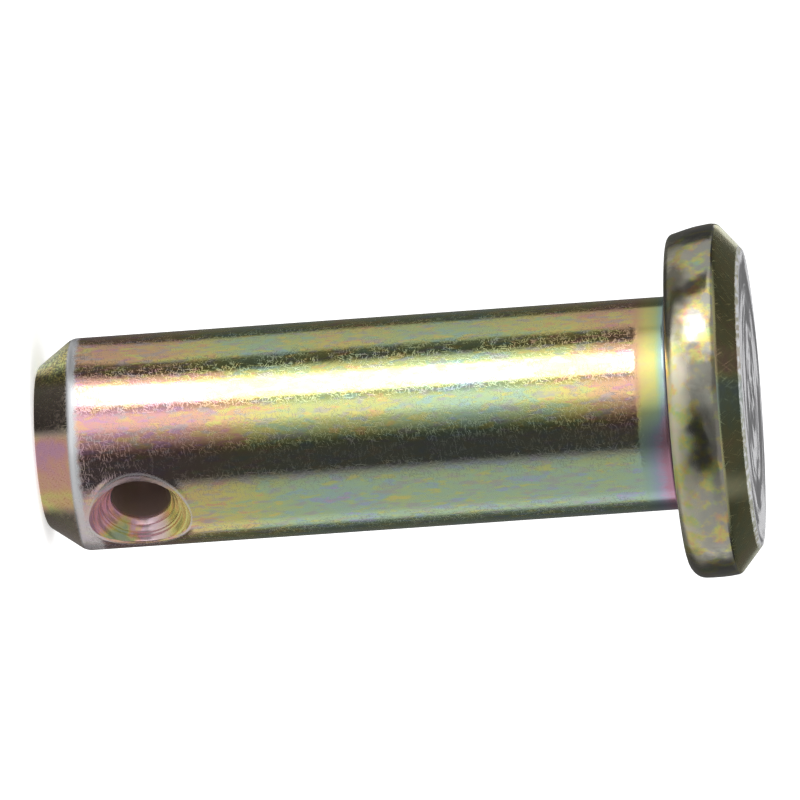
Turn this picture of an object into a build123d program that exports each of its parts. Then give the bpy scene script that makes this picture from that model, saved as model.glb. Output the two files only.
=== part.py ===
from build123d import *
import math
import os

# Clevis pin for a 1/2 in clevis, 1-1/2 in long under the head. All sizes in millimetres.
# It stands on its point with the head up: the axis is Z, the flat end is on Z = 0,
# and the cross hole for the cotter runs along Y.

# Shank
shank_diameter = 12.70
shank_length = 38.10          # underside of the head to the flat end
shank_root_fillet = 0.35      # where the shank runs into the head

# Point, the tapered lead-in at the free end
point_length = 2.20           # along the axis
point_end_diameter = 9.50     # flat end, before its edge is rounded
point_end_round = 0.50        # edge of the flat end
point_shoulder_round = 0.90   # where the taper meets the shank

# Head, cold headed, so its rim is slightly barrelled
head_diameter = 20.90         # at the two ends of the rim
head_height = 4.37            # underside to outer face
head_rim_bulge = 0.12         # barrelling of the rim, on the radius
head_underside_round = 0.95   # lower edge of the rim
head_bevel_height = 1.35      # top bevel, along the axis
head_bevel_width = 1.60       # top bevel, across the axis
head_bevel_round = 0.40       # rim to bevel
head_face_round = 0.15        # bevel to outer face

# Cross hole for the cotter, countersunk from both sides
hole_diameter = 3.57
hole_to_end = 5.95            # hole centre to the flat end
countersink_diameter = 6.05   # at the crown of the shank
countersink_angle = 72.0      # included angle of the cone
countersink_edge_round = 0.08 # drawn-over lip of the countersink


# Stations along the axis and radii that follow from the sizes above
shank_radius = shank_diameter / 2
head_radius = head_diameter / 2
point_end_radius = point_end_diameter / 2
face_radius = head_radius - head_bevel_width
underside_z = shank_length
bevel_z = shank_length + head_height - head_bevel_height
face_z = shank_length + head_height


def turned_profile():
    """Half section of the pin, from the axis outwards, with every corner rounded."""
    with BuildSketch(Plane.XZ) as section:
        with BuildLine():
            Polyline(
                (0, face_z),
                (0, 0),
                (point_end_radius, 0),
                (shank_radius, point_length),
                (shank_radius, underside_z),
                (head_radius, underside_z),
            )
            ThreePointArc(
                (head_radius, underside_z),
                (head_radius + head_rim_bulge, (underside_z + bevel_z) / 2),
                (head_radius, bevel_z),
            )
            Polyline((head_radius, bevel_z), (face_radius, face_z), (0, face_z))
        make_face()
        rounds = [
            (point_end_radius, 0, point_end_round),
            (shank_radius, point_length, point_shoulder_round),
            (shank_radius, underside_z, shank_root_fillet),
            (head_radius, underside_z, head_underside_round),
            (head_radius, bevel_z, head_bevel_round),
            (face_radius, face_z, head_face_round),
        ]
        for radius, height, amount in rounds:
            corner = section.vertices().sort_by_distance((radius, height))[0]
            fillet(corner, amount)
    return section.sketch


def countersink(side):
    """Cone from the bore out past the crown of the shank, on the +Y (1) or -Y (-1) side."""
    slope = math.tan(math.radians(countersink_angle / 2))
    mouth_radius = countersink_diameter / 2
    spare = 1.0  # run out past the shank so the whole mouth is cut
    depth = (mouth_radius - hole_diameter / 2) / slope
    cone = Cone(hole_diameter / 2, mouth_radius + spare * slope, depth + spare)
    middle = shank_radius - depth + (depth + spare) / 2
    return Pos(0, side * middle, hole_to_end) * Rot(-90 * side, 0, 0) * cone


def is_mouth(edge):
    """True for the saddle-shaped edge where a countersink meets the shank."""
    centre = edge.center(CenterOf.BOUNDING_BOX)
    size = edge.bounding_box().size
    return (
        abs(centre.Z - hole_to_end) < hole_diameter / 2
        and abs(centre.Y) > shank_radius / 2
        and abs(size.Z - countersink_diameter) < 0.05
    )


def clevis_pin():
    """The turned and headed blank with its cross hole."""
    blank = revolve(turned_profile(), Axis.Z)
    bore = Pos(0, 0, hole_to_end) * Rot(90, 0, 0) * Cylinder(hole_diameter / 2, 2 * shank_diameter)
    drilled = blank - bore - countersink(1) - countersink(-1)
    mouths = drilled.edges().filter_by(is_mouth)
    return fillet(mouths, countersink_edge_round)


pin = clevis_pin()
os.makedirs("parts", exist_ok=True)
export_step(pin, "parts/clevis_pin.step")
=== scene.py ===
import math

import bmesh
import bpy
from mathutils import Euler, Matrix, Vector, noise


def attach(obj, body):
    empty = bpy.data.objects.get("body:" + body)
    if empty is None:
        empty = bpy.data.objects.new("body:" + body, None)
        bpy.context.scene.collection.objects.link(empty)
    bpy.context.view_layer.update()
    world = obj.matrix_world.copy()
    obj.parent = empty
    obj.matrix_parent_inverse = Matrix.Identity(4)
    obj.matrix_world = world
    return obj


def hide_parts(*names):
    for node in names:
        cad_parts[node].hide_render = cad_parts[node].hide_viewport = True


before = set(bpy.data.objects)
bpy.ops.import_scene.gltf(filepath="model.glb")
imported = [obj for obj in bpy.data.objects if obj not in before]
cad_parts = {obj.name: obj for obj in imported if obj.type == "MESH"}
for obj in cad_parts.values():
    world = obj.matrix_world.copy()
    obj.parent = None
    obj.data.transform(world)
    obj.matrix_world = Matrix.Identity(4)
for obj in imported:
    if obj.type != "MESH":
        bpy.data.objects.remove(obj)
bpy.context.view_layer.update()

mm = 0.001


def startEdit(thing):
    bpy.ops.object.select_all(action="DESELECT")
    bpy.context.view_layer.objects.active = thing
    thing.select_set(True)
    bpy.ops.object.mode_set(mode="EDIT")
    bpy.ops.mesh.select_all(action="DESELECT")


def endEdit():
    bpy.ops.object.mode_set(mode="OBJECT")


def pickFacing(direction):  # the flat end that looks along a direction
    bpy.ops.mesh.select_mode(type="FACE")
    bpy.ops.mesh.select_all(action="DESELECT")
    shape = bmesh.from_edit_mesh(bpy.context.object.data)
    shape.normal_update()
    for face in shape.faces:
        face.select_set(face.normal.dot(Vector(direction)) > 0.9)
    bmesh.update_edit_mesh(bpy.context.object.data)


def pickRing(radius, height):  # the edge loop round the pin's axis at a radius and height
    bpy.ops.mesh.select_mode(type="EDGE")
    bpy.ops.mesh.select_all(action="DESELECT")
    shape = bmesh.from_edit_mesh(bpy.context.object.data)
    near = 0.02 * mm
    for edge in shape.edges:
        edge.select_set(all(
            abs(end.co.z - height) < near and abs(math.hypot(end.co.x, end.co.y) - radius) < near
            for end in edge.verts))
    bmesh.update_edit_mesh(bpy.context.object.data)


def extrudeRing(rise, scale):  # carries the picked end along its axis and widens or narrows it
    bpy.ops.mesh.extrude_region_move(TRANSFORM_OT_translate={"value": rise})
    bpy.ops.transform.resize(value=scale, center_override=(0, 0, 0))


view = {
    "distance": 0.762,
    "azimuth": -46.4,
    "elevation": 5.16,
    "roll": 85.97,           # the pin stands, and is seen lying with its head to the right
    "lens": 575.6,
    "sensor": 36,
    "aim": (-0.0009, 0.00095, 0.0215),
    "nearest": 0.01,
    "farthest": 20,
}


def makeCamera():
    turn = math.radians(view["azimuth"])
    lift = math.radians(view["elevation"])
    back = Vector((math.sin(turn) * math.cos(lift), -math.cos(turn) * math.cos(lift), math.sin(lift)))
    facing = (-back).to_track_quat("-Z", "Y") @ Euler((0, 0, math.radians(view["roll"]))).to_quaternion()
    bpy.ops.object.camera_add(
        location=Vector(view["aim"]) + back * view["distance"], rotation=facing.to_euler())
    camera = bpy.context.object
    camera.data.lens = view["lens"]
    camera.data.sensor_width = view["sensor"]
    camera.data.clip_start = view["nearest"]
    camera.data.clip_end = view["farthest"]
    bpy.context.scene.camera = camera
    bpy.context.scene.view_settings.view_transform = "Standard"


makeCamera()
print("camera placed")

pin = {
    "sides": 256,
    "shankRadius": 6.35 * mm,
    "shankLength": 38.1 * mm,
    "rootFillet": 0.35 * mm,
    "pointLength": 2.2 * mm,
    "pointEndRadius": 4.75 * mm,
    "pointEndRound": 0.5 * mm,
    "shoulderRound": 0.9 * mm,
    "headRadius": 10.45 * mm,
    "headHeight": 4.37 * mm,
    "rimBulge": 0.1 * mm,
    "bulgeReach": 1.5 * mm,  # how far the bulge runs above and below the rim's middle
    "undersideRound": 0.95 * mm,
    "bevelHeight": 1.35 * mm,
    "bevelWidth": 1.6 * mm,
    "bevelRound": 0.4 * mm,
    "faceRound": 0.15 * mm,
    "faceRings": (0.35, 0.7, 1.2, 2.2, 3.2),  # steps inwards across the outer face, in millimetres
    "rows": [                # rows cut round the pin: first height and step in millimetres, and how many
        (2.75, 0.125, 52),   # close together past the cross hole
        (9.4, 0.6, 48),      # up the rest of the shank
        (39.25, 0.15, 11),   # round the rim
    ],
    "crease": 28,            # degrees past which an edge stays sharp
}

hole = {
    "sides": 128,
    "radius": 1.785 * mm,
    "height": 5.95 * mm,
    "mouthRadius": 3.025 * mm,
    "halfAngle": 36.0,
    "toolRings": [           # where each ring left by the tool ends, as a share of the cone, and its depth
        (0.09, 0.035), (0.17, 0.020), (0.30, 0.048), (0.41, 0.028), (0.50, 0.036), (0.64, 0.055),
        (0.73, 0.022), (0.84, 0.042), (0.93, 0.030), (1.07, 0.030), (1.25, 0.03), (1.5, 0.03), (1.8, 0.03),
    ],
    "ringBottom": 0.6,       # where in its width a ring is deepest
    "lipHeight": 0.05 * mm,  # metal pushed up round each mouth
    "lipWidth": 0.2 * mm,
    "lipBelow": 11 * mm,     # the shank above this height is clear of both mouths
}

forging = {
    "squareSide": (-0.69, 0.724),  # where the die struck harder and left the underside corner square
    "squareFrom": 0.5,       # how far round to that side the corner starts to square up
    "squareOver": 0.4,
    "squareness": 0.68,
    "draft": 0.5 * mm,       # how far the squared side leans in at the underside
    "draftHeight": 2.6 * mm,
    "waves": 0.035 * mm,     # slow unevenness of the headed rim
    "waveSize": 2.2 * mm,
    "setBack": 0.4,          # share of the waves taken off, so that the rim keeps its size
    "pits": 0.012 * mm,
    "pitSize": 0.5 * mm,
}

slack = 0.01 * mm            # rounding allowed for when places are compared


def roundRing(radius, height, amount, turn, steps):  # turn is the corner's change of direction
    pickRing(radius, height)
    bpy.ops.mesh.bevel(
        offset=amount * math.tan(math.radians(turn) / 2), segments=steps, profile=0.5, affect="EDGES")


def makeBlank():
    base = pin["pointLength"]
    top = pin["shankLength"]
    radius = pin["shankRadius"]
    bpy.ops.mesh.primitive_cylinder_add(
        vertices=pin["sides"], radius=radius, depth=top - base, location=(0, 0, (base + top) / 2))
    blank = bpy.context.object
    blank.name = "clevisPin"
    bpy.ops.object.transform_apply(location=True, rotation=True, scale=True)
    startEdit(blank)

    # point
    pickFacing((0, 0, -1))
    taper = pin["pointEndRadius"] / radius
    extrudeRing((0, 0, -base), (taper, taper, 1))

    # head, from its underside to its outer face
    rimHeight = pin["headHeight"] - pin["bevelHeight"]
    faceRadius = pin["headRadius"] - pin["bevelWidth"]
    pickFacing((0, 0, 1))
    spread = pin["headRadius"] / radius
    extrudeRing((0, 0, 0), (spread, spread, 1))
    extrudeRing((0, 0, rimHeight), (1, 1, 1))
    narrow = faceRadius / pin["headRadius"]
    extrudeRing((0, 0, pin["bevelHeight"]), (narrow, narrow, 1))
    for width in pin["faceRings"]:
        bpy.ops.mesh.inset(thickness=width * mm, depth=0)

    # corners
    slope = math.degrees(math.atan2(pin["bevelWidth"], pin["bevelHeight"]))
    point = math.degrees(math.atan2(radius - pin["pointEndRadius"], base))
    roundRing(pin["headRadius"], top + rimHeight, pin["bevelRound"], slope, 5)
    roundRing(faceRadius, top + pin["headHeight"], pin["faceRound"], 90 - slope, 4)
    roundRing(pin["headRadius"], top, pin["undersideRound"], 90, 9)
    roundRing(radius, top, pin["rootFillet"], 90, 6)
    roundRing(radius, base, pin["shoulderRound"], point, 6)
    roundRing(pin["pointEndRadius"], 0, pin["pointEndRound"], 90 - point, 5)

    for first, step, count in pin["rows"]:
        for row in range(count):
            bpy.ops.mesh.select_all(action="SELECT")
            bpy.ops.mesh.bisect(plane_co=(0, 0, (first + step * row) * mm), plane_no=(0, 0, 1))
    endEdit()
    return blank


def squareCorner(place, reach):  # where a point of the rim goes, and its new distance from the axis
    low = pin["shankLength"]
    corner = pin["undersideRound"]
    toward = (place.x * forging["squareSide"][0] + place.y * forging["squareSide"][1]) / reach
    square = min(1, max(0, (toward - forging["squareFrom"]) / forging["squareOver"]))
    square = square * square * (3 - 2 * square)
    tight = 1 - forging["squareness"] * square
    out = reach - (pin["headRadius"] - corner)
    below = low + corner - place.z
    goal, height = reach, place.z
    if out > 0 and below > -slack:
        goal = pin["headRadius"] - corner * tight + out * tight
        height = low + corner * tight - below * tight
    if out > 0:
        goal -= forging["draft"] * square * max(0, 1 - (height - low) / forging["draftHeight"])
    return Vector((place.x * goal / reach, place.y * goal / reach, height)), goal


def roughenBlank(blank):
    # pushed one by one: a barrelled, hammered rim and a lip of metal round each mouth
    low = pin["shankLength"]
    middle = low + (pin["headHeight"] - pin["bevelHeight"]) / 2
    for point in blank.data.vertices:
        reach = math.hypot(point.co.x, point.co.y)
        if reach > pin["shankRadius"] + 2 * mm and low - slack <= point.co.z < middle + 1 * mm:
            point.co, reach = squareCorner(point.co, reach)
        place = point.co
        outward = Vector((place.x, place.y, 0)) / reach if reach else Vector()
        if reach > pin["shankRadius"] + 2.5 * mm and place.z > low:
            bulge = pin["rimBulge"] * max(0, 1 - ((place.z - middle) / pin["bulgeReach"]) ** 2)
            waves = forging["waves"] * noise.noise(place / forging["waveSize"])
            pits = forging["pits"] * noise.noise(place / forging["pitSize"] + Vector((7, 3, 1)))
            point.co = place + outward * (bulge + waves + pits - forging["waves"] * forging["setBack"])
        elif reach > pin["shankRadius"] - 2 * slack and place.z < hole["lipBelow"]:
            off = math.hypot(place.x, place.z - hole["height"]) - hole["mouthRadius"]
            point.co = place + outward * (hole["lipHeight"] * math.exp(-(off / hole["lipWidth"]) ** 2))


def makeCutter():
    flare = hole["mouthRadius"] - hole["radius"]
    depth = flare / math.tan(math.radians(hole["halfAngle"]))
    wall = pin["shankRadius"] - depth
    bpy.ops.mesh.primitive_cylinder_add(
        vertices=hole["sides"], radius=hole["radius"], depth=2 * wall, rotation=(math.pi / 2, 0, 0))
    cutter = bpy.context.object
    cutter.name = "cutter"
    bpy.ops.object.transform_apply(location=True, rotation=True, scale=True)
    startEdit(cutter)
    bottom = hole["ringBottom"]
    for side in (-1, 1):
        reach, done = hole["radius"], 0.0
        pickFacing((0, side, 0))
        for end, bite in hole["toolRings"]:
            for at, length, sunk in ((bottom, bottom, bite * mm), (1, 1 - bottom, 0)):
                goal = hole["radius"] + flare * (done + (end - done) * at) - sunk
                rise = depth * (end - done) * length
                extrudeRing((0, side * rise, 0), (goal / reach, 1, goal / reach))
                reach = goal
            done = end
    endEdit()
    for point in cutter.data.vertices:  # the rings are shaped round the origin, then all goes up to the hole
        point.co.z += hole["height"]
    return cutter


def drillPin(blank, cutter):
    bpy.ops.object.select_all(action="DESELECT")
    bpy.context.view_layer.objects.active = blank
    blank.select_set(True)
    cut = blank.modifiers.new("crossHole", "BOOLEAN")
    cut.operation = "DIFFERENCE"
    cut.solver = "EXACT"
    cut.object = cutter
    bpy.ops.object.modifier_apply(modifier=cut.name)
    bpy.data.objects.remove(cutter)
    startEdit(blank)
    bpy.ops.mesh.select_all(action="SELECT")
    bpy.ops.mesh.normals_make_consistent(inside=False)
    endEdit()
    bpy.ops.object.shade_smooth_by_angle(angle=math.radians(pin["crease"]))


blank = makeBlank()
roughenBlank(blank)
drillPin(blank, makeCutter())
print("pin shaped:", len(blank.data.polygons), "faces")


class Wire:
    # a socket that can be added, multiplied and so on like a number
    def __init__(self, shader, socket):
        self.shader = shader
        self.socket = socket

    def __add__(self, other):
        return self.shader.math("ADD", self, other)

    def __radd__(self, other):
        return self.shader.math("ADD", other, self)

    def __sub__(self, other):
        return self.shader.math("SUBTRACT", self, other)

    def __rsub__(self, other):
        return self.shader.math("SUBTRACT", other, self)

    def __mul__(self, other):
        return self.shader.math("MULTIPLY", self, other)

    def __rmul__(self, other):
        return self.shader.math("MULTIPLY", other, self)

    def __truediv__(self, other):
        return self.shader.math("DIVIDE", self, other)


class Shader:
    # fills the node tree of a new material or world
    def __init__(self, owner):
        self.owner = owner
        owner.use_nodes = True
        self.tree = owner.node_tree
        self.tree.nodes.clear()

    def node(self, kind, settings=None, inputs=None, output=0):
        made = self.tree.nodes.new(kind)
        for name, value in (settings or {}).items():
            if name == "stops":
                fillRamp(made.color_ramp, value)
            else:
                setattr(made, name, value)
        for name, value in (inputs or {}).items():
            if isinstance(value, Wire):
                self.tree.links.new(value.socket, made.inputs[name])
            else:
                made.inputs[name].default_value = value
        return Wire(self, made.outputs[output])

    def finish(self, surface, kind="ShaderNodeOutputMaterial"):
        out = self.tree.nodes.new(kind)
        self.tree.links.new(surface.socket, out.inputs["Surface"])
        return self.owner

    # shorthand for the nodes used again and again
    def math(self, operation, first, second):
        return self.node("ShaderNodeMath", {"operation": operation}, {0: first, 1: second})

    def ramp(self, value, stops):
        return self.node("ShaderNodeValToRGB", {"stops": stops}, {0: value})

    def mix(self, factor, first, second):
        ends = [(*end, 1) if isinstance(end, tuple) else end for end in (first, second)]
        return self.node("ShaderNodeMix", {"data_type": "RGBA"}, {0: factor, 6: ends[0], 7: ends[1]}, 2)

    def grade(self, value, low, high):  # 0 below low, 1 above high, smooth between
        return self.node("ShaderNodeMapRange", {"interpolation_type": "SMOOTHSTEP"},
                         {"Value": value, "From Min": low, "From Max": high})

    def zone(self, value, rise, full, fall, gone):  # 1 from full to fall, 0 outside rise and gone
        return self.grade(value, rise, full) * (1 - self.grade(value, fall, gone))

    def moved(self, vector, scale=(1, 1, 1), turn=(0, 0, 0), shift=(0, 0, 0)):
        return self.node("ShaderNodeMapping", None,
                         {"Vector": vector, "Scale": scale, "Rotation": turn, "Location": shift})

    def clouds(self, vector, size, detail=2.0):
        return self.node("ShaderNodeTexNoise", None, {"Vector": vector, "Scale": 1 / size, "Detail": detail})

    def flatClouds(self, vector, size, detail):
        return self.node("ShaderNodeTexNoise", {"noise_dimensions": "2D"},
                         {"Vector": vector, "Scale": 1 / size, "Detail": detail})

    def place(self):
        return self.node("ShaderNodeTexCoord", None, None, "Object")

    def larger(self, first, second):
        return self.math("MAXIMUM", first, second)

    def square(self, value):
        return self.math("POWER", value, 2.0)

    def reach(self, first, second):  # distance from the origin of two axes
        return self.math("POWER", self.square(first) + self.square(second), 0.5)

    def angle(self, across, along):
        return self.math("ARCTAN2", along, across)

    def outputs(self, wire, names):
        return [Wire(self, wire.socket.node.outputs[name]) for name in names]

    def axes(self, vector):
        return self.outputs(self.node("ShaderNodeSeparateXYZ", None, {0: vector}), "XYZ")

    def joined(self, across, along, up):
        return self.node("ShaderNodeCombineXYZ", None, {0: across, 1: along, 2: up})

    def openRays(self):  # 1 for what is seen straight, in a reflection or through something clear
        rays = self.node("ShaderNodeLightPath")
        names = ("Is Camera Ray", "Is Glossy Ray", "Is Transmission Ray")
        straight, mirrored, through = self.outputs(rays, names)
        return straight + mirrored + through


def fillRamp(ramp, stops):
    while len(ramp.elements) > 1:
        ramp.elements.remove(ramp.elements[-1])
    for place, value in stops:
        spot = ramp.elements[0] if place == stops[0][0] else ramp.elements.new(place)
        spot.position = place
        colour = value if isinstance(value, tuple) else (value, value, value)
        spot.color = (*colour, 1)


hangSide = (0.69, -0.724)    # the side of the pin that hung lowest to dry


def leanTo(across, along, radius):  # from -1 on the side that hung highest to 1 on the lowest
    return (across * hangSide[0] + along * hangSide[1]) / radius


def rampByLean(shader, lean, stops):
    return shader.ramp(lean * 0.5 + 0.5, [((side + 1) / 2, value) for side, value in stops])


def unroll(shader, place, radius):
    # flattens the surface: distance round the axis, height
    across, along, up = shader.axes(place)
    return shader.joined(shader.angle(across, along) * radius, up, 0.0)


def nickField(shader, flat, layers):
    # short nicks in several directions: stretched noise kept only at its peaks
    # a layer is its turn in degrees, its shift, width and length in millimetres, and its lowest peak kept
    total = None
    for turn, shift, width, length, low in layers:
        turned = shader.moved(flat, turn=(0, 0, math.radians(turn)), shift=(shift * mm, shift * 1.7 * mm, 0))
        spot = shader.moved(turned, (1 / (width * mm), 1 / (length * mm), 1))
        nick = shader.grade(shader.flatClouds(spot, 1.0, 0.0), low, low + 0.14)
        total = nick if total is None else shader.larger(total, nick)
    return total


def plated(shader, colour, rough, relief, metal=1.0):
    bump = shader.node("ShaderNodeBump", None, {"Strength": 1.0, "Distance": 1.0, "Height": relief})
    surface = shader.node("ShaderNodeBsdfPrincipled", None,
                          {"Base Color": colour, "Metallic": metal, "Roughness": rough, "Normal": bump})
    return shader.finish(surface)


filmStops = [                # interference colours of the chromate, from thin to thick
    (0.00, (0.80, 0.44, 0.58)),
    (0.12, (0.91, 0.49, 0.42)),
    (0.28, (0.94, 0.61, 0.32)),
    (0.42, (0.91, 0.82, 0.28)),
    (0.55, (0.71, 0.80, 0.34)),
    (0.68, (0.58, 0.78, 0.48)),
    (0.80, (0.52, 0.73, 0.64)),
    (0.88, (0.54, 0.64, 0.76)),
    (0.94, (0.72, 0.58, 0.78)),
    (1.00, (0.84, 0.45, 0.60)),
]

metalTones = {
    "silver": (0.78, 0.79, 0.81),  # zinc showing where the colour is rubbed off
    "dull": (0.60, 0.56, 0.58),
    "grey": (0.56, 0.55, 0.51),
}

shankFinish = {
    # height in millimetres and film thickness, down the middle and along either flank
    "film": [
        (2, 0.08), (9, 0.12), (13.5, 0.41), (16, 0.53), (21, 0.52), (25.5, 0.67), (30.5, 0.54), (34.5, 0.24),
        (36, 0.17), (36.4, 0.36), (37.2, 0.47), (37.5, 0.75), (38, 0.95),
    ],
    "upperFilm": [
        (2, 0.20), (4, 0.22), (9, 0.35), (13.5, 0.65), (16, 0.58), (18.5, 0.42), (21, 0.52), (25.5, 0.62),
        (30.5, 0.43), (36, 0.25), (37.3, 0.55), (37.6, 0.78), (38, 0.90),
    ],
    "lowerFilm": [
        (2, 0.12), (6.5, 0.16), (9, 0.37), (13.5, 0.56), (18.5, 0.76), (21, 0.66), (33, 0.70), (36, 0.74),
        (37, 0.92), (37.5, 1.0),
    ],
    "span": 40,              # the height that the three lists are laid over
    "upperFlank": (0.42, 0.68),  # how far round the flanks' films take over
    "lowerFlank": (0.05, 0.62),
    "stretch": 0.35,         # stains are drawn out along the pin
    "spots": 0.26,           # how far small spots shift the film
    "drift": 0.22,           # the same for wide patches
    "flecks": 0.15,          # and for small ones with a crisper edge
    "fleckEdge": (0.55, 0.64),
    "dullness": 0.62,        # greyness of the thin milky spots
    "roughness": 0.085,
    "grain": 0.0028 * mm,
    "darkSide": (0.08, 0.22, 0.40, 0.50),  # a duller stripe along the lower flank
    "darkTone": (0.66, 0.62, 0.64),
    "collar": (35.95 * mm, 36.55 * mm),  # the smooth end next to the head starts here
    "satin": 0.12,           # its roughness
    "cone": 0.10,            # it is very slightly coned
    "calm": 0.85,            # how far the stains fade out on it
    "collarBase": 36.0 * mm,
    "seamShade": (37.65 * mm, 37.85 * mm),  # painted shade in the corner under the head
    "seamShadeTone": (0.08, 0.07, 0.09),
    "shoulder": (2.3 * mm, 2.65 * mm),  # rubbed bare below this height, and further up on the lower side
    "smear": (2.8 * mm, 3.3 * mm),
    "nicks": [
        (86, 0.0, 0.09, 0.50, 0.655), (71, 3.1, 0.085, 0.42, 0.675), (-64, 7.7, 0.09, 0.46, 0.675),
        (4, 5.2, 0.08, 0.60, 0.72), (32, 9.4, 0.085, 0.46, 0.705),
    ],
    "nickTone": (0.66, 0.65, 0.62),
    "nickRoughness": 0.22,
    "nickDepth": 0.0016 * mm,
}


def mouthLip(shader, across, up):  # 1 on the lip pushed up round either mouth
    off = shader.reach(across, up - hole["height"])
    return shader.zone(off, 2.95 * mm, 3.0 * mm, 3.06 * mm, 3.16 * mm)


def shankFilm(shader, lean, up, collar):
    look = shankFinish

    def byHeight(stops):
        span = look["span"]
        return shader.ramp(up / (span * mm), [(height / span, film) for height, film in stops])

    low = shader.grade(lean + collar * 0.24, *look["lowerFlank"])
    film = shader.mix(low, byHeight(look["film"]), byHeight(look["lowerFilm"]))
    return shader.mix(shader.grade(0 - lean, *look["upperFlank"]), film, byHeight(look["upperFilm"]))


def makeShankPlate():
    look = shankFinish
    shader = Shader(bpy.data.materials.new("yellowZincShank"))
    place = shader.place()
    across, along, up = shader.axes(place)
    lean = leanTo(across, along, pin["shankRadius"])
    collar = shader.grade(up + shader.clouds(place, 0.3 * mm, 3.0) * (0.6 * mm), *look["collar"])
    calm = 1 - collar * look["calm"]

    # stains
    stretched = shader.moved(place, (1, 1, look["stretch"]))
    spots = shader.clouds(stretched, 0.30 * mm, 2.5) - 0.5
    drift = shader.clouds(stretched, 1.6 * mm, 1.5) - 0.5
    elsewhere = shader.moved(stretched, shift=(0.02, 0, 0))
    thicker = shader.grade(shader.clouds(stretched, 0.5 * mm, 3.0), *look["fleckEdge"])
    thinner = shader.grade(shader.clouds(elsewhere, 0.4 * mm, 3.0), *look["fleckEdge"])
    flecks = (thicker - thinner) * look["flecks"]
    film = shankFilm(shader, lean, up, collar)
    stains = (spots * look["spots"] + drift * look["drift"] + flecks) * calm
    colour = shader.ramp(film + stains, filmStops)
    milky = shader.grade(shader.clouds(stretched, 0.34 * mm, 3.0), 0.50, 0.68)
    colour = shader.mix(milky * look["dullness"] * calm, colour, metalTones["dull"])
    darkSide = shader.zone(lean, *look["darkSide"]) * calm
    colour = shader.mix(darkSide * 0.55, colour, look["darkTone"])

    # bare metal at the shoulder, at the mouths, and painted shade under the head
    ragged = shader.clouds(place, 0.35 * mm, 3.0) * 0.5 * mm
    shoulder = 1 - shader.grade(up - ragged, *look["shoulder"])
    spread = shader.grade(lean, 0.35, 0.85)
    smear = (1 - shader.grade(up - ragged * 1.6, *look["smear"])) * spread
    lip = mouthLip(shader, across, up)
    bare = shader.larger(shader.larger(shoulder * (1 - spread * 0.25), smear * 0.75), lip * 0.55)
    colour = shader.mix(bare, colour, metalTones["silver"])
    # painted shade: the colour is darkened into the corner under the head
    seamShade = shader.grade(up, *look["seamShade"])
    colour = shader.mix(seamShade * 0.9, colour, look["seamShadeTone"])

    # nicks and grain
    flat = unroll(shader, place, pin["shankRadius"])
    crowded = shader.grade(shader.clouds(place, 1.0 * mm), 0.28, 0.5)
    nicks = nickField(shader, flat, look["nicks"]) * crowded * (1 - darkSide * 0.3)
    grain = shader.flatClouds(flat, 0.24 * mm, 1.5)
    worn = (1 - collar) * (1 - shoulder) * (1 - lip)
    colour = shader.mix(nicks * worn * 0.22, colour, look["nickTone"])
    relief = (grain * look["grain"] - nicks * look["nickDepth"]) * worn
    relief = relief - collar * (up - look["collarBase"]) * look["cone"]
    rough = look["roughness"] + nicks * worn * look["nickRoughness"] + bare * 0.2
    rough = rough + collar * (look["satin"] - look["roughness"]) + seamShade * 0.6
    return plated(shader, colour, rough, relief, 1 - bare * 0.3)


pointFinish = {
    "film": [                # from the side that hung highest to the lowest
        (-1.0, 0.44), (-0.82, 0.42), (-0.7, 0.30), (-0.12, 0.20), (-0.02, 0.02), (0.12, 0.06), (0.3, 0.13),
        (0.5, 0.22), (0.62, 0.40), (0.76, 0.30), (1.0, 0.2),
    ],
    "spots": 0.22,
    "patches": 0.6,
    "thinnest": -0.06,       # patches thin the film by no more than this
    "dim": (-0.86, -0.7, -0.2, -0.05),  # a duller stripe, and one more at the lowest side
    "dimLow": (0.72, 0.9),
    "dimTone": (0.60, 0.58, 0.52),
    "speckledDarkReflection": (0.68, 0.86),  # painted dark reflection, broken by specks, on the highest side
    "speckledDarkReflectionTone": (0.12, 0.11, 0.09),
    "shoulder": (2.05 * mm, 2.25 * mm),
    "roughness": 0.2,
    "grain": 0.0015 * mm,
    "nicks": [(8, 0.0, 0.06, 0.4, 0.62), (60, 3.1, 0.06, 0.4, 0.64), (-50, 5.5, 0.06, 0.4, 0.64)],
}


def makePointPlate():
    look = pointFinish
    shader = Shader(bpy.data.materials.new("yellowZincPoint"))
    place = shader.place()
    across, along, up = shader.axes(place)
    lean = leanTo(across, along, pin["pointEndRadius"])
    spots = shader.clouds(place, 0.5 * mm) - 0.5
    patches = shader.larger(shader.clouds(place, 1.6 * mm, 1.0) - 0.5, look["thinnest"])
    film = rampByLean(shader, lean, look["film"])
    colour = shader.ramp(film + spots * look["spots"] + patches * look["patches"], filmStops)
    dim = shader.zone(lean, *look["dim"]) + shader.grade(lean, *look["dimLow"])
    colour = shader.mix(dim * 0.7, colour, look["dimTone"])
    # painted dark reflection: the highest side is darkened, with specks of the film left showing
    gaps = 1 - shader.grade(shader.clouds(place, 0.14 * mm), 0.45, 0.6)
    colour = shader.mix(shader.grade(0 - lean, *look["speckledDarkReflection"]) * gaps * 0.75, colour, look["speckledDarkReflectionTone"])
    shoulder = shader.grade(up, *look["shoulder"])
    colour = shader.mix(shoulder, colour, metalTones["silver"])
    nicks = nickField(shader, unroll(shader, place, pin["pointEndRadius"]), look["nicks"])
    coarse = look["grain"] + shader.grade(0 - lean, 0.5, 0.8) * 0.004 * mm
    relief = shader.clouds(place, 0.16 * mm) * coarse - nicks * 0.0015 * mm
    rough = look["roughness"] + nicks * 0.3 + shoulder * 0.12
    return plated(shader, colour, rough, relief)


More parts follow.
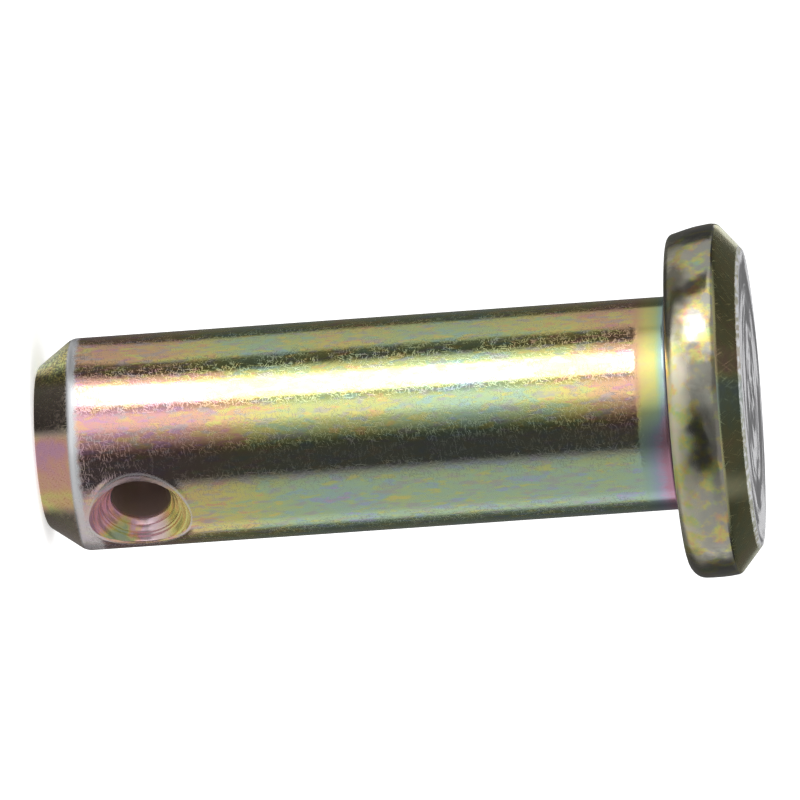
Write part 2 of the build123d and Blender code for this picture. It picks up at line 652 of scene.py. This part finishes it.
headFinish = {
    "film": 0.44,
    "spots": 0.5,
    "patches": 0.7,
    "smoothFrom": 39.3 * mm,  # the rim is matt below this height and polished by the die above it
    "fade": (0.45 * mm, 0.5 * mm),
    "paleTone": (0.84, 0.80, 0.68),
    # the tone that the painted dark reflections on the rim darken to
    "paintedDarkTone": (0.09, 0.085, 0.07),
    # painted dark reflections on the coat, and its roughness, round the rim, from the side that hung highest
    # to the lowest
    "mattPaintedDark": [
        (-1.0, 0.6), (-0.94, 0.6), (-0.88, 0.2), (-0.80, 0.25), (-0.74, 0.75), (-0.52, 0.85), (-0.38, 0.8),
        (-0.28, 0.3), (-0.2, 0.05), (0.3, 0.0), (0.8, 0.1), (0.88, 0.6), (1.0, 0.7),
    ],
    "mattRough": [
        (-1.0, 0.2), (-0.42, 0.22), (-0.2, 0.34), (0.02, 0.62), (0.3, 0.52), (0.6, 0.36), (0.9, 0.2),
    ],
    "polishedPaintedDark": [
        (-1.0, 0.5), (-0.94, 0.5), (-0.9, 0.0), (-0.28, 0.0), (-0.22, 0.55), (-0.1, 0.6), (-0.03, 0.3),
        (0.32, 0.3), (0.4, 0.0), (0.84, 0.0), (0.9, 0.5), (1.0, 0.5),
    ],
    "polished": 0.10,
    "grain": 0.0015 * mm,
    "dents": 0.009 * mm,
}


def makeHeadPlate():
    look = headFinish
    shader = Shader(bpy.data.materials.new("yellowZincHead"))
    place = shader.place()
    across, along, up = shader.axes(place)
    spots = shader.clouds(place, 0.32 * mm) - 0.5
    patches = shader.clouds(place, 1.1 * mm, 1.5) - 0.5
    colour = shader.ramp(look["film"] + spots * look["spots"] + patches * look["patches"], filmStops)
    ragged = up + (shader.clouds(place, 1.2 * mm, 1.0) - 0.5) * 1.0 * mm
    die = shader.grade(ragged, look["smoothFrom"] - look["fade"][0], look["smoothFrom"] + look["fade"][1])
    greyness = shader.grade(shader.clouds(place, 0.9 * mm, 2.5), 0.36, 0.56) * (0.82 + die * 0.08)
    colour = shader.mix(greyness, colour, shader.mix(die, look["paleTone"], metalTones["grey"]))
    wander = (shader.clouds(place, 0.6 * mm, 3.0) - 0.5) * 0.14
    lean = leanTo(across, along, pin["headRadius"]) + wander
    # painted dark reflections: the rim's colour is darkened where its mirror image should be dark
    dark = shader.mix(
        die, rampByLean(shader, lean, look["mattPaintedDark"]), rampByLean(shader, lean, look["polishedPaintedDark"]))
    colour = shader.mix(dark, colour, look["paintedDarkTone"])
    dents = shader.clouds(place, 1.3 * mm, 1.0)
    grain = shader.clouds(place, 0.16 * mm, 2.5)
    relief = grain * look["grain"] + dents * look["dents"]
    matt = rampByLean(shader, lean, look["mattRough"])
    rough = matt + die * (look["polished"] - matt) + shader.clouds(place, 0.5 * mm) * 0.08
    return plated(shader, colour, rough, relief)


bevelFinish = {
    "film": [                # from the side that hung highest to the lowest
        (-1.0, 0.5), (-0.36, 0.40), (-0.24, 0.31), (-0.16, 0.30), (-0.08, 0.74), (0.06, 0.72), (0.24, 0.46),
        (0.52, 0.5), (1.0, 0.45),
    ],
    "stains": 0.3,           # how far spots and patches shift the film
    "greyness": 0.35,
    "rust": (-0.34, -0.26, -0.16, -0.08),  # rust and bloom only roughen it; haze roughens it and also pales it as a painted glow
    "bloom": (-0.2, -0.1, 0.0, 0.15),
    "hazeAndGlow": (0.36, 0.5, 0.5, 0.62),
    "paintedGlowTone": (0.90, 0.90, 0.62),
    "edge": (42.25 * mm, 42.33 * mm),  # the worn corner round the outer face
    "edgeTone": (0.82, 0.83, 0.85),
    "roughness": 0.22,
    "grain": 0.0015 * mm,
    "nicks": [(40, 0.0, 0.09, 0.8, 0.72), (-45, 3.1, 0.09, 0.8, 0.72)],
    "nickDepth": 0.002 * mm,
}


def makeBevelPlate():
    look = bevelFinish
    shader = Shader(bpy.data.materials.new("yellowZincBevel"))
    place = shader.place()
    across, along, up = shader.axes(place)
    lean = leanTo(across, along, pin["headRadius"])
    spots = shader.clouds(place, 0.6 * mm) - 0.5
    patches = shader.clouds(place, 3.0 * mm, 1.0) - 0.5
    film = rampByLean(shader, lean, look["film"])
    colour = shader.ramp(film + spots * look["stains"] + patches * look["stains"], filmStops)
    colour = shader.mix(look["greyness"], colour, metalTones["grey"])
    rust, bloom, hazeAndGlow = (shader.zone(lean, *look[name]) for name in ("rust", "bloom", "hazeAndGlow"))
    # painted highlight: a pale patch stands in for a glow reflected on the bevel
    colour = shader.mix(hazeAndGlow * 0.6, colour, look["paintedGlowTone"])
    edge = shader.grade(up + (shader.clouds(place, 0.12 * mm, 3.0) - 0.5) * 0.1 * mm, *look["edge"])
    edge = edge * (0.55 + shader.grade(shader.clouds(place, 0.35 * mm, 3.0), 0.42, 0.6) * 0.45)
    colour = shader.mix(edge, colour, look["edgeTone"])
    nicks = nickField(shader, unroll(shader, place, pin["headRadius"]), look["nicks"])
    relief = shader.clouds(place, 0.2 * mm) * look["grain"] - nicks * look["nickDepth"]
    rough = look["roughness"] + nicks * 0.25 + edge * 0.3 + rust * 0.12 + bloom * 0.1 + hazeAndGlow * 0.32
    return plated(shader, colour, rough, relief, 1 - edge * 0.6)


faceFinish = {
    "darkTone": (0.20, 0.20, 0.21),
    "lightTone": (0.46, 0.46, 0.49),
    "brightTone": (0.80, 0.80, 0.82),
    "arcWidth": 1.3 * mm,    # the streaks run in arcs round the middle
    "arcLength": 1.1,
    "rubbed": (8.55 * mm, 8.7 * mm),  # the bright rim of the face
    "lines": [               # the two turned rings
        (6.6 * mm, 6.7 * mm, 6.75 * mm, 6.85 * mm),
        (3.0 * mm, 3.1 * mm, 3.15 * mm, 3.25 * mm),
    ],
    "roughness": 0.43,
    "metal": 0.75,
    "streaks": 0.012 * mm,
    "pitting": 0.004 * mm,
}


def makeFaceWorn():
    look = faceFinish
    shader = Shader(bpy.data.materials.new("wornHeadFace"))
    place = shader.place()
    across, along = shader.axes(place)[:2]
    out = shader.reach(across, along)
    bend = look["arcLength"]
    arcs = shader.joined(out / look["arcWidth"], across / out * bend, along / out * bend)
    streaks = shader.clouds(arcs, 1.0, 2.5)
    colour = shader.mix(shader.grade(streaks, 0.36, 0.66), look["darkTone"], look["lightTone"])
    wobble = out + (shader.clouds(place, 0.3 * mm, 3.0) - 0.5) * 0.14 * mm
    line = shader.larger(*(shader.zone(wobble, *ring) for ring in look["lines"]))
    broken = shader.grade(shader.clouds(place, 2.6 * mm), 0.46, 0.6)
    bright = shader.larger(shader.grade(wobble, *look["rubbed"]) * 0.8, line * broken * 0.6)
    colour = shader.mix(bright, colour, look["brightTone"])
    relief = streaks * look["streaks"] + shader.clouds(place, 0.3 * mm) * look["pitting"]
    smooth = shader.grade(streaks, 0.44, 0.58)
    rough = look["roughness"] - smooth * 0.20 + bright * 0.15
    return plated(shader, colour, rough, relief, look["metal"] - bright * 0.3)


boreFinish = {
    "film": 0.03,
    "spots": 0.3,
    "roughness": 0.20,
    "grain": 0.001 * mm,
    "dark": (0.46, 0.37, 0.32),
    "darkWithin": (4.4 * mm, 4.75 * mm),  # the bore is coloured darker and browner this near the axis
    "greenTone": (0.30, 0.31, 0.25),
    # a painted highlight pales the bottom of the countersink to this tone
    "paleTone": (0.92, 0.82, 0.86),
    "metal": 0.75,
}


def makeBorePlate():
    look = boreFinish
    shader = Shader(bpy.data.materials.new("yellowZincBore"))
    place = shader.place()
    across, along, up = shader.axes(place)
    tilt = (up - hole["height"]) / hole["mouthRadius"]
    spots = shader.clouds(place, 0.35 * mm) - 0.5
    low = shader.grade(across / hole["mouthRadius"], 0.35, 0.65)
    ragged = tilt + (shader.clouds(place, 0.5 * mm) - 0.5) * 0.6
    green = low * (1 - shader.grade(ragged, -0.45, -0.1))
    film = look["film"] + shader.grade(tilt, 0.1, 0.6) * 0.40 + green * 0.62
    colour = shader.ramp(film + spots * look["spots"], filmStops)
    colour = shader.mix(green * 0.6, colour, look["greenTone"])
    # painted highlight: the bottom of the countersink is paled where a highlight shows
    paintedHighlight = low * shader.grade(ragged, -0.3, 0.1) * (1 - shader.grade(tilt, 0.35, 0.6))
    colour = shader.mix(paintedHighlight * 0.6, colour, look["paleTone"])
    near, far = look["darkWithin"]
    inside = 1 - shader.grade(shader.square(along), near ** 2, far ** 2)
    colour = shader.mix(inside * 0.9, colour, look["dark"])
    relief = shader.clouds(place, 0.12 * mm) * look["grain"]
    rough = look["roughness"] + inside * 0.15
    return plated(shader, colour, rough, relief, look["metal"])


def finishFor(face):  # which finish a face of the pin gets, by its place
    rimTop = pin["shankLength"] + pin["headHeight"] - pin["bevelHeight"]
    place, normal = face.center, face.normal
    reach = math.hypot(place.x, place.y)
    off = math.hypot(place.x, place.z - hole["height"])
    outward = (place.x * normal.x + place.y * normal.y) / max(reach, 1e-9)
    if place.z < pin["pointLength"]:
        return "point"
    if normal.z > 0.99:
        return "face"
    if off < hole["mouthRadius"] + 0.1 * mm and outward < 0.93:
        return "bore"
    if place.z < pin["shankLength"] - slack or reach < pin["shankRadius"] + pin["rootFillet"]:
        return "shank"
    if place.z > rimTop - 5 * slack and normal.z > 0.3:
        return "bevel"
    return "head"


def dressPin():
    makers = {
        "shank": makeShankPlate, "point": makePointPlate, "head": makeHeadPlate,
        "bevel": makeBevelPlate, "face": makeFaceWorn, "bore": makeBorePlate,
    }
    blank.data.materials.clear()
    for make in makers.values():
        blank.data.materials.append(make())
    order = list(makers)
    for face in blank.data.polygons:
        face.material_index = order.index(finishFor(face))


dressPin()
print("finishes made")

# Soft boxes and dark cards stand all round as one tent that only reflections see.
# Angles are in degrees round the pin, from the camera; levels are brightness.
tent = {
    "sides": 128,
    "radius": 0.3,
    "facing": -136.4,
    "height": 0.6,
    "brightest": 3.2,
    "wall": [
        (-180, 0.13), (-160, 0.12), (-140, 0.08), (-131, 0.08), (-127, 0.40), (-95, 0.48), (-90, 0.10),
        (-77, 0.06), (-71, 0.66), (-62, 1.05), (-58, 3.0), (-39, 3.0), (-36, 0.50), (-31, 0.65),
        (-26, 1.06), (-14, 0.96), (-8, 0.50), (0, 0.32), (8, 0.12), (14, 0.05), (44, 0.05), (54, 0.35),
        (62, 0.42), (105, 0.46), (112, 0.62), (122, 0.62), (128, 0.15), (140, 0.08), (180, 0.13),
    ],
    "high": [
        (-180, 1.2), (-162, 1.2), (-152, 0.12), (-140, 0.13), (-128, 0.38), (-97, 0.46), (-88, 0.50),
        (-78, 0.80), (-60, 1.0), (-46, 1.15), (-34, 1.05), (-22, 0.85), (-8, 0.64), (0, 0.48), (8, 0.27),
        (32, 0.14), (44, 0.13), (62, 0.28), (75, 0.40), (105, 0.45), (120, 0.52), (130, 0.18), (150, 0.12),
        (166, 0.10), (175, 1.2), (180, 1.2),
    ],
    "top": [(-180, 0.12), (-110, 0.03), (-85, 0.35), (85, 0.35), (110, 0.03), (180, 0.12)],
    "table": [
        (-180, 0.08), (-140, 0.08), (-132, 0.30), (-106, 0.30), (-98, 0.10), (-64, 0.10), (-52, 1.05),
        (2, 1.05), (10, 0.65), (48, 0.52), (104, 0.50), (118, 0.10), (180, 0.08),
    ],
    "foot": [
        (-180, 0.3), (-80, 0.75), (-70, 0.5), (-62, 0.10), (-13, 0.04), (-7, 0.44), (48, 0.46), (58, 0.10),
        (180, 0.3),
    ],
    "ceiling": 0.07,
    # heights where wall turns to high and high to top, then distances where foot turns to table to wall
    "highFrom": (46 * mm, 60 * mm),
    "topFrom": (88 * mm, 112 * mm),
    "tableFrom": (8.5 * mm, 11 * mm),
    "wallFrom": (20 * mm, 28 * mm),
    "askew": 4.5,            # how far the cards are turned near the pin's foot, and what keeps straight
    "askewWithin": (60 * mm, 230 * mm),
    "straightPast": (-72, -60),
    "cardHeight": 0.02 * mm,
}


def shareOfTurn(degrees):
    return (degrees + 180) / 360


def bandLight(name, flatCard):
    shader = Shader(bpy.data.materials.new(name))
    turned = shader.moved(shader.place(), turn=(0, 0, math.radians(-tent["facing"])))
    across, along, up = shader.axes(turned)
    share = shader.angle(across, along) / (2 * math.pi) + 0.5
    if flatCard:
        out = shader.reach(across, along)
        near = 1 - shader.grade(out, *tent["askewWithin"])
        straight = shader.grade(share, *(shareOfTurn(end) for end in tent["straightPast"]))
        share = share - near * (1 - straight) * (tent["askew"] / 360)

    def band(stops):
        return shader.ramp(share, [(shareOfTurn(angle), level / tent["brightest"]) for angle, level in stops])

    level = band(tent["wall"])
    if flatCard:
        level = shader.mix(shader.grade(out, *tent["wallFrom"]), band(tent["table"]), level)
        level = shader.mix(shader.grade(out, *tent["tableFrom"]), band(tent["foot"]), level)
    else:
        level = shader.mix(shader.grade(up, *tent["highFrom"]), level, band(tent["high"]))
        level = shader.mix(shader.grade(up, *tent["topFrom"]), level, band(tent["top"]))
    glow = shader.node("ShaderNodeEmission", None, {"Color": level, "Strength": tent["brightest"]})
    return shader.finish(glow)


def plainGlow(name, level):
    shader = Shader(bpy.data.materials.new(name))
    glow = shader.node("ShaderNodeEmission", None, {"Color": (level, level, level, 1), "Strength": 1.0})
    return shader.finish(glow)


def hangSheet(name, glow):  # makes the sheet just added part of the tent, for reflections only
    sheet = bpy.context.object
    sheet.name = name
    bpy.ops.object.transform_apply(location=True, rotation=True, scale=True)
    sheet.data.materials.append(glow)
    sheet.visible_camera = False
    sheet.visible_diffuse = False
    sheet.visible_transmission = False
    sheet.visible_shadow = False
    sheet.visible_volume_scatter = False


def makeTent():
    bpy.ops.mesh.primitive_cylinder_add(
        vertices=tent["sides"], radius=tent["radius"], depth=tent["height"], end_fill_type="NOTHING",
        location=(0, 0, tent["height"] / 2))
    hangSheet("tentWall", bandLight("tentWallGlow", False))
    bpy.ops.mesh.primitive_circle_add(
        vertices=tent["sides"], radius=tent["radius"], fill_type="NGON", location=(0, 0, tent["cardHeight"]))
    hangSheet("tableCard", bandLight("tableCardGlow", True))
    bpy.ops.mesh.primitive_circle_add(
        vertices=tent["sides"], radius=tent["radius"], fill_type="NGON", location=(0, 0, tent["height"]))
    hangSheet("tentCeiling", plainGlow("tentCeilingGlow", tent["ceiling"]))


studio = {
    "floorSize": 8,
    "floorTone": (0.9, 0.9, 0.9, 1),
    "floorLift": 0.5,        # makes the floor as white as the room wherever it is seen
    "fill": 0.75,            # the room's light on the pin
    "white": 1.0,            # and its brightness where it is seen
    "softbox": (0.1, -0.2, 0.9),
    "softboxSize": 0.7,
    "softboxPower": 3.0,
}


def makeFloor():
    bpy.ops.mesh.primitive_plane_add(size=studio["floorSize"], location=(0, 0, 0))
    floor = bpy.context.object
    floor.name = "floor"
    shader = Shader(bpy.data.materials.new("paleFloor"))
    surface = shader.node("ShaderNodeBsdfPrincipled", None, {
        "Base Color": studio["floorTone"], "Roughness": 0.8, "Emission Color": (1, 1, 1, 1),
        "Emission Strength": shader.openRays() * studio["floorLift"], "Specular IOR Level": 0.0})
    floor.data.materials.append(shader.finish(surface))


def makeLights():
    shader = Shader(bpy.data.worlds.new("studio"))
    level = shader.node("ShaderNodeMapRange", None, {
        "Value": shader.openRays(), "To Min": studio["fill"], "To Max": studio["white"]})
    background = shader.node("ShaderNodeBackground", None, {"Color": (1, 1, 1, 1), "Strength": level})
    bpy.context.scene.world = shader.finish(background, "ShaderNodeOutputWorld")
    bpy.ops.object.light_add(type="AREA", location=studio["softbox"])
    key = bpy.context.object
    key.name = "overheadSoftbox"
    key.data.shape = "DISK"
    key.data.size = studio["softboxSize"]
    key.data.energy = studio["softboxPower"]
    key.visible_glossy = False


makeTent()
makeFloor()
makeLights()
print("studio set")

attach(blank, "root")
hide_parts("clevis_pin")
